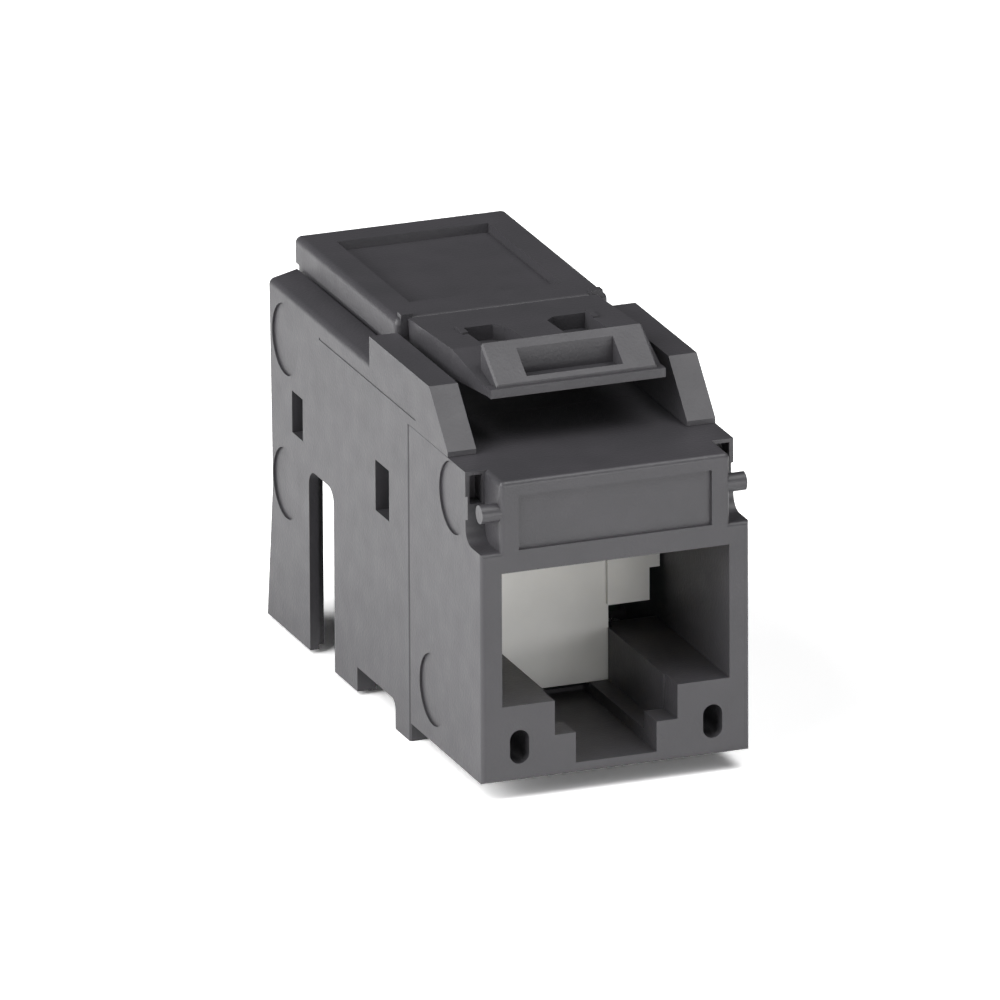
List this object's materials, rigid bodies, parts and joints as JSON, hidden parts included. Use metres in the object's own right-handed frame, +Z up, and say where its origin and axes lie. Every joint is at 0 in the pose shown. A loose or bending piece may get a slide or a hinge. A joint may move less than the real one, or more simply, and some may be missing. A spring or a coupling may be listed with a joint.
{
  "type": "keystone jack",
  "caption": "Black keystone jack with a sprung dust shutter in a modular plug port, a panel latch on top and insulation-displacement terminals at the rear.",
  "frame": {"origin": "centre of the footprint, on the surface that the feet stand on", "axes": "+X to the right seen from the plug port, +Y from the plug port towards the cable end, +Z up, with the latch on top"},
  "size_m": [0.0142, 0.0302, 0.0213],
  "materials": {
    "black_plastic": "black moulded plastic, fine satin texture",
    "shutter_plastic": "light grey moulded plastic, smooth",
    "carrier_plastic": "black glass-filled plastic, matt",
    "block_plastic": "dark grey moulded plastic, satin",
    "board": "green solder mask",
    "steel": "drawn spring steel",
    "contact_metal": "gold-plated spring bronze",
    "terminal_metal": "tin-plated phosphor bronze"
  },
  "bodies": {
    "jack": {"front_housing": "black_plastic", "rear_shell": "black_plastic", "top_cover": "black_plastic", "contact_carrier": "carrier_plastic", "circuit_board": "board", "terminal_block": "block_plastic", "guide_rod_left": "steel", "shutter_spring_left": "steel", "guide_rod_right": "steel", "shutter_spring_right": "steel", "contact_1": "contact_metal", "contact_2": "contact_metal", "contact_3": "contact_metal", "contact_4": "contact_metal", "contact_5": "contact_metal", "contact_6": "contact_metal", "contact_7": "contact_metal", "contact_8": "contact_metal", "terminal_1": "terminal_metal", "terminal_2": "terminal_metal", "terminal_3": "terminal_metal", "terminal_4": "terminal_metal", "terminal_5": "terminal_metal", "terminal_6": "terminal_metal", "terminal_7": "terminal_metal", "terminal_8": "terminal_metal"},
    "shutter": {"shutter": "shutter_plastic"},
    "latch": {"latch_arm": "black_plastic"}
  },
  "joints": [
    {"name": "shutter_slide", "type": "slide", "parent": "jack", "child": "shutter", "axis": [0, 1, 0], "range_m": [0, 0.0024], "stiffness_N_per_m": 400, "springref_m": -0.001, "deforming": ["shutter_spring_left", "shutter_spring_right"]},
    {"name": "latch_flex", "type": "hinge", "parent": "jack", "child": "latch", "pos_m": [0, 0.00036, 0.0201], "axis": [1, 0, 0], "range_deg": [0, 9], "stiffness_Nm_per_rad": 0.25, "springref_deg": -1.15}
  ]
}
